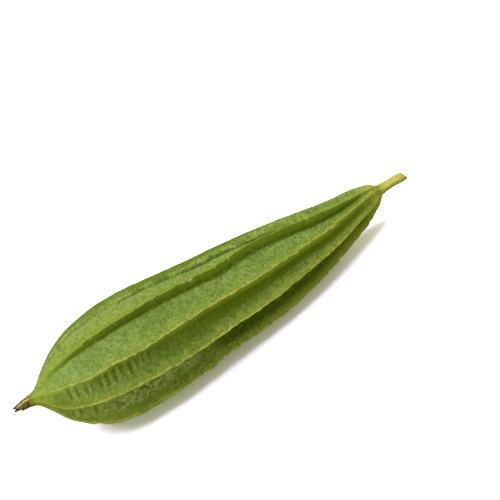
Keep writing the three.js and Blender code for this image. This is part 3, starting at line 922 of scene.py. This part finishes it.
def stem_material(settings):
    """Fresh-cut stalk: a pale yellow-green skin with long fibres, browned round its cut.

    The fibres are drawn coarser than real ones, so that they show. Olive painted shade runs
    along two opposite sides.
    """
    material, tree = start_material("fresh_green_stalk")
    cut, depth, share, side_shade = surface_layers(tree, "cut", "depth", "share", "side_shade")
    fibres = mottle(tree, 0.7, stretch=(8, 1, 1))
    blotches = mottle(tree, 2.4, detail=4)
    colour = coat(tree, settings.skin_dark, settings.skin_light, 1.0, (fibres, 0.35, 0.62))
    colour = coat(tree, colour, settings.root_colour, 0.9, (share, 0.3, 0.0))
    # Painted shade: olive bands along two opposite sides of the stalk
    colour = coat(tree, colour, settings.bruise_and_shade_colour, 0.8, (side_shade, 0.3, 0.9))
    colour = coat(tree, colour, settings.orange_colour, 0.6, (share, 0.72, 0.9), (side_shade, 0.3, 0.0))
    colour = coat(tree, colour, settings.bruise_and_shade_colour, 0.5, (blotches, 0.6, 0.75))
    colour = coat(tree, colour, settings.rim_colour, 0.85, (share, 0.95, 1.0))
    pith = coat(tree, settings.rim_colour, settings.pith_colour, 1.0, (depth, 0.14, 0.4))
    colour = coat(tree, colour, pith, 1.0, (cut, 0.0, 1.0))
    finish_material(
        tree, Base_Color=colour, Roughness=0.55, IOR=1.42, Normal=relief(tree, (fibres, 0.15)),
    )
    return material


def dried_material(settings, name):
    """Withered petal tissue: papery straw going olive and brown, dull and fibrous.

    The fibres are drawn coarser than real ones, so that they show.
    """
    material, tree = start_material(name)
    withered, = surface_layers(tree, "withered")
    fibres = mottle(tree, 0.6, stretch=(5, 1, 1), detail=4)
    stains = mottle(tree, 2.0)
    colour = coat(tree, settings.straw_dark, settings.straw_light, 1.0, (fibres, 0.35, 0.6))
    olive = coat(tree, settings.olive_colour, settings.straw_dark, 0.6, (fibres, 0.45, 0.62))
    olive = coat(tree, olive, settings.brown_colour, 0.9, (stains, 0.44, 0.56))
    # On the flower tube the straw left by the strip is a painted highlight
    colour = coat(tree, colour, olive, 1.0, (withered, 0.1, 0.7))
    finish_material(
        tree, Base_Color=colour, Roughness=0.85, Normal=relief(tree, (fibres, 0.2)),
    )
    return material


def floor_material(settings):
    """Matte white studio paper: pale to the eye, with its shadow lifted."""
    material, tree = start_material("matte_studio_paper")
    seen = add_node(tree, "ShaderNodeLightPath").outputs["Is Camera Ray"]
    bright = [settings.floor_gain * channel for channel in settings.floor_colour[:3]]
    colour = add_node(
        tree, "ShaderNodeMix",
        {"Factor": seen, "A": settings.bounce_colour, "B": (*bright, 1)}, data_type="RGBA",
    )
    paper = add_node(tree, "ShaderNodeBsdfDiffuse", {"Color": colour})
    glow = add_node(
        tree, "ShaderNodeEmission", {"Color": settings.glow_colour, "Strength": settings.glow},
    )
    lit = add_node(tree, "ShaderNodeAddShader", {0: paper, 1: glow})
    chosen = add_node(tree, "ShaderNodeMixShader", {0: seen, 1: paper, 2: lit})
    add_node(tree, "ShaderNodeOutputMaterial", {"Surface": chosen})
    return material


# ---- settings ---------------------------------------------------------------

def length_setting(name, description, default_mm):
    """A length property, given here in millimetres and held in metres."""
    return bpy.props.FloatProperty(
        name=name, description=description, default=default_mm * MM,
        unit="LENGTH", precision=5,
    )


def colour_setting(name, description, default):
    """A colour property from an sRGB hex string."""
    return bpy.props.FloatVectorProperty(
        name=name, description=description, default=linear(default),
        subtype="COLOR", size=4, min=0, max=1,
    )


class GourdFruitSettings(bpy.types.PropertyGroup):
    """Sizes and colours of the rind."""

    rib_width: length_setting("Rib width", "Half width of the rib on a crest", 0.7)
    rib_height: length_setting("Rib height", "Height of the rib above its crest", 0.3)
    wave_depth: length_setting("Crest wave", "Depth of the waves along a crest", 0.5)
    crest_wander: length_setting("Crest wander", "Sideways wander of a crest", 0.5)
    wrinkle_depth: length_setting("Wrinkle depth", "Depth of the cross wrinkles", 0.14)
    wrinkle_spacing: length_setting("Wrinkle spacing", "Distance between wrinkles", 4.1)
    swell_depth: length_setting("Panel swell", "Height of the slow swells", 0.22)
    panel_dark: colour_setting("Panel, dark", "Deeper green of the panels", "#6b8732")
    panel_light: colour_setting("Panel, light", "Lighter green of the panels", "#859e48")
    panel_yellow: colour_setting("Panel, yellow", "Yellower green that some panels take", "#8fa03a")
    bloom_colour: colour_setting("Bloom", "Greyish waxy bloom", "#aebb8c")
    vein_colour: colour_setting("Veins", "Pale cross veins", "#98b058")
    bright_flank_colour: colour_setting("Flank, bright", "Yellow-green side of a ridge", "#778b38")
    # Partly painted shade: the deep green of the falling sides
    deep_green_and_shade_colour: colour_setting("Flank, deep", "Saturated side of a ridge", "#607a02")
    pale_band_colour: colour_setting("Pale band", "Light band above a foot", "#97a956")
    # Painted shade: the dark crease line along a flank's foot
    foot_shade_colour: colour_setting("Foot", "Dark line along the foot of a flank", "#2e4600")
    trough_colour: colour_setting("Trough", "Bluish green beside the foot of a flank", "#7a9356")
    freckle_colour: colour_setting("Freckles", "Pale freckles", "#b3c27c")
    end_colour: colour_setting("Ends", "Yellow-green of both ends", "#9aa832")
    root_colour: colour_setting("Root", "Yellow-green round the stalk", "#b4b84c")
    stain_colour: colour_setting("Stain", "Browned olive round the blossom", "#857a1c")
    # Also the painted light where a skirt runs long
    skirt_colour: colour_setting("Skirt", "Soft yellow-green on either side of a crest", "#97a53c")
    rib_colour: colour_setting("Rib", "Straw-pale line on the crests", "#c3c868")
    nick_colour: colour_setting("Nicks", "Dried scuffs on the crests", "#c4b877")
    grain_dark: colour_setting("Grain, dark", "Darker specks of the grain", "#48621c")
    grain_light: colour_setting("Grain, light", "Lighter specks of the grain", "#a4b560")


class GourdStemSettings(bpy.types.PropertyGroup):
    """Colours of the stalk."""

    skin_light: colour_setting("Skin, light", "Pale skin", "#cdce6c")
    skin_dark: colour_setting("Skin, dark", "Greener fibres", "#bcbe55")
    root_colour: colour_setting("Root", "Where it leaves the fruit", "#acae4a")
    # Olive of real bruises, and of the painted shade along the stalk's sides
    bruise_and_shade_colour: colour_setting("Bruise", "Olive bruises and edges", "#8b8638")
    orange_colour: colour_setting("Orange", "Orange tinge by the cut", "#ccae38")
    rim_colour: colour_setting("Cut rim", "Dried rim of the cut", "#5e5424")
    pith_colour: colour_setting("Pith", "Middle of the cut", "#c9bd72")


class GourdBlossomSettings(bpy.types.PropertyGroup):
    """Colours of the withered blossom."""

    # Straw is also the painted highlight strip on the flower tube
    straw_light: colour_setting("Straw, light", "Papery straw", "#d4cb90")
    straw_dark: colour_setting("Straw, dark", "Duller straw", "#9a924e")
    olive_colour: colour_setting("Olive", "Withered olive brown", "#665c12")
    brown_colour: colour_setting("Brown", "Withered dark brown", "#3d3308")


class GourdStageSettings(bpy.types.PropertyGroup):
    """Floor and light."""

    floor_size: bpy.props.FloatProperty(
        name="Floor size", description="Half width of the floor", default=6.0, unit="LENGTH")
    floor_colour: colour_setting("Floor", "White of the floor", "#dbd8ff")
    floor_gain: bpy.props.FloatProperty(
        name="Floor gain", description="How far past white the floor is exposed", default=3.2)
    bounce_colour: colour_setting("Bounce", "What the floor throws back on the gourd", "#c0c284")
    glow_colour: colour_setting("Glow", "Lift of the floor's shadows", "#fffbee")
    glow: bpy.props.FloatProperty(
        name="Glow", description="Strength of the lift of the shadows", default=0.08)
    key: bpy.props.FloatProperty(
        name="Key light", description="Strength of the overhead light", default=3.1)
    fill_colour: colour_setting("Fill colour", "Colour of the light from all round", "#fff8c4")
    fill: bpy.props.FloatProperty(
        name="Fill light", description="Strength of the light from all round", default=0.35)


# ---- stage ------------------------------------------------------------------

def add_floor(settings):
    """A flat square of studio paper, a hair below the crests that rest on it."""
    size, low = settings.floor_size, -FLOOR_DROP * MM
    corners = [(-size, -size, low), (size, -size, low), (size, size, low), (-size, size, low)]
    mesh = bpy.data.meshes.new("studio_floor")
    mesh.from_pydata(corners, [], [(0, 1, 2, 3)])
    mesh.materials.append(floor_material(settings))
    floor = bpy.data.objects.new("studio_floor", mesh)
    bpy.context.scene.collection.objects.link(floor)


def add_overhead_light(settings):
    """A wide, soft light from almost straight above."""
    lamp = bpy.data.lights.new("overhead_softbox", "SUN")
    lamp.energy = settings.key
    lamp.angle = math.radians(LAMP_SPREAD)
    lamp.color = LAMP_COLOUR
    light = bpy.data.objects.new("overhead_softbox", lamp)
    towards = Vector(LAMP_TOWARDS)
    light.rotation_euler = towards.to_track_quat("Z", "Y").to_euler()
    light.location = towards
    bpy.context.scene.collection.objects.link(light)


def add_studio_air(settings):
    """Light from all round: white to the camera, and warm and weak on the gourd."""
    world = bpy.data.worlds.new("studio_air")
    world.use_nodes = True
    tree = world.node_tree
    tree.nodes.clear()
    seen = add_node(tree, "ShaderNodeLightPath").outputs["Is Camera Ray"]
    strength = add_node(
        tree, "ShaderNodeMix", {"Factor": seen, "A": settings.fill, "B": 1.0}, data_type="FLOAT",
    )
    colour = add_node(
        tree, "ShaderNodeMix",
        {"Factor": seen, "A": settings.fill_colour, "B": (1, 1, 1, 1)}, data_type="RGBA",
    )
    light = add_node(tree, "ShaderNodeBackground", {"Color": colour, "Strength": strength})
    add_node(tree, "ShaderNodeOutputWorld", {"Surface": light})
    bpy.context.scene.world = world
    bpy.context.scene.view_settings.view_transform = "Standard"


def add_camera():
    """The camera, looking down on the gourd."""
    data = bpy.data.cameras.new("camera")
    data.lens = LENS
    data.sensor_width = SENSOR_WIDTH
    camera = bpy.data.objects.new("camera", data)
    camera.matrix_world = camera_place()
    bpy.context.scene.collection.objects.link(camera)
    bpy.context.scene.camera = camera


def camera_place():
    """Camera matrix: looks at AIM from the azimuth and elevation, then rolls."""
    turn = (
        Matrix.Rotation(math.radians(CAMERA_AZIMUTH), 4, "Z")
        @ Matrix.Rotation(math.radians(90 - CAMERA_ELEVATION), 4, "X")
        @ Matrix.Rotation(math.radians(-CAMERA_ROLL), 4, "Z")
    )
    back = turn.to_3x3() @ Vector((0, 0, CAMERA_DISTANCE * MM))
    return Matrix.Translation(Vector(AIM) * MM + back) @ turn


# ---- operators --------------------------------------------------------------

class GOURD_OT_add_fruit(bpy.types.Operator):
    """Add the ridged fruit in its waxy green rind"""

    bl_idname = "gourd.add_fruit"
    bl_label = "Add fruit"

    def execute(self, context):
        settings = context.scene.gourd_fruit
        make_piece("ridged_rind", [fruit_surface(settings)], rind_material(settings),
                   ["fruit"])
        return {"FINISHED"}


class GOURD_OT_add_stem(bpy.types.Operator):
    """Add the cut stalk"""

    bl_idname = "gourd.add_stem"
    bl_label = "Add stem"

    def execute(self, context):
        make_piece("cut_stem", [stem_surface()], stem_material(context.scene.gourd_stem),
                   ["stem"])
        return {"FINISHED"}


class GOURD_OT_add_blossom(bpy.types.Operator):
    """Add the withered flower tube and its dried shreds"""

    bl_idname = "gourd.add_blossom"
    bl_label = "Add withered blossom"

    def execute(self, context):
        settings = context.scene.gourd_blossom
        rng = np.random.default_rng(SEED + 3)
        make_piece("flower_tube", [stub_surface()],
                   dried_material(settings, "papery_flower_tube"),
                   ["blossom_remnant"])
        make_piece("petal_shreds", [shred_surface(shred, rng) for shred in SHREDS],
                   dried_material(settings, "withered_petal"),
                   ["blossom_remnant"])
        return {"FINISHED"}


class GOURD_OT_add_stage(bpy.types.Operator):
    """Add the floor, the light and the camera"""

    bl_idname = "gourd.add_stage"
    bl_label = "Add stage"

    def execute(self, context):
        settings = context.scene.gourd_stage
        add_floor(settings)
        add_overhead_light(settings)
        add_studio_air(settings)
        add_camera()
        return {"FINISHED"}


class GOURD_PT_sidebar(bpy.types.Panel):
    """Lists the gourd's pieces in the 3D view's sidebar"""

    bl_label = "Ridge gourd"
    bl_idname = "GOURD_PT_sidebar"
    bl_space_type = "VIEW_3D"
    bl_region_type = "UI"
    bl_category = "Gourd"

    def draw(self, context):
        for group, operator in PARTS:
            box = self.layout.box()
            settings = getattr(context.scene, group)
            for name in settings.bl_rna.properties.keys():
                if name not in ("rna_type", "name"):
                    box.prop(settings, name)
            box.operator(operator)


PARTS = (
    ("gourd_fruit", "gourd.add_fruit"),
    ("gourd_stem", "gourd.add_stem"),
    ("gourd_blossom", "gourd.add_blossom"),
    ("gourd_stage", "gourd.add_stage"),
)
GROUPS = (GourdFruitSettings, GourdStemSettings, GourdBlossomSettings, GourdStageSettings)
CLASSES = GROUPS + (
    GOURD_OT_add_fruit, GOURD_OT_add_stem, GOURD_OT_add_blossom, GOURD_OT_add_stage,
    GOURD_PT_sidebar,
)


def register():
    """Register the classes and give the scene its settings."""
    for made in CLASSES:
        bpy.utils.register_class(made)
    for (name, _), group in zip(PARTS, GROUPS):
        setattr(bpy.types.Scene, name, bpy.props.PointerProperty(type=group))


def unregister():
    """Undo register."""
    for name, _ in PARTS:
        delattr(bpy.types.Scene, name)
    for made in reversed(CLASSES):
        bpy.utils.unregister_class(made)


def main():
    register()
    bpy.ops.gourd.add_stage()
    bpy.ops.gourd.add_fruit()
    bpy.ops.gourd.add_stem()
    bpy.ops.gourd.add_blossom()


if __name__ == "__main__":
    main()
